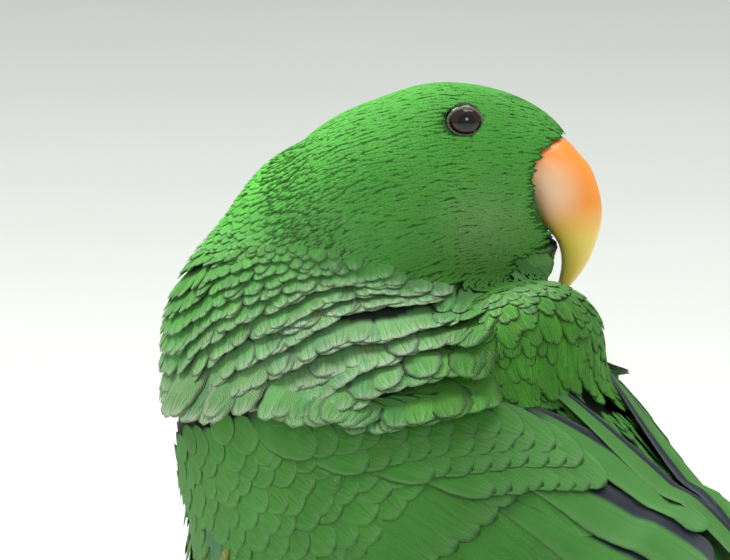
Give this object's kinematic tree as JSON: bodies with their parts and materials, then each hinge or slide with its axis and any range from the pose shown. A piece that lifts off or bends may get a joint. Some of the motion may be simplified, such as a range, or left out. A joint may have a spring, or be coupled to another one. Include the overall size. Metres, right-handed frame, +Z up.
{
  "type": "eclectus parrot model",
  "caption": "Life-size still model of a green male eclectus parrot looking back over its shoulder, perched on a cut branch held by a rod on a round base.",
  "frame": {"origin": "middle of the round base's underside, on the floor", "axes": "+Z up, the perch lies along Y, the bird's chest faces -X and its tail points to +X and down"},
  "size_m": [0.2582, 0.165, 0.2633],
  "materials": {
    "plumage": "soft green feathers",
    "flight_feathers": "smooth green feathers, black and blue beneath",
    "bill_upper": "satin horn, orange at the root and yellow at the tip",
    "bill_lower": "satin black horn",
    "eye": "wet, dark red-brown",
    "foot_skin": "dry grey scaled skin",
    "claw": "dark satin horn",
    "bark": "rough bark with sawn ends",
    "stand_rod": "brushed",
    "stand_base": "dark satin wood"
  },
  "bodies": {
    "root": {"head": "plumage", "neck": "plumage", "torso": "plumage", "leg_left": "plumage", "leg_right": "plumage", "wing_left": "flight_feathers", "wing_right": "flight_feathers", "tail": "flight_feathers", "bill_upper": "bill_upper", "bill_lower": "bill_lower", "eye_left": "eye", "eye_right": "eye", "foot_left": "foot_skin", "foot_right": "foot_skin", "claw_left_inner_front": "claw", "claw_left_outer_front": "claw", "claw_left_inner_back": "claw", "claw_left_outer_back": "claw", "claw_right_inner_front": "claw", "claw_right_outer_front": "claw", "claw_right_inner_back": "claw", "claw_right_outer_back": "claw", "perch": "bark", "stand_rod": "stand_rod", "stand_base": "stand_base"}
  },
  "joints": []
}
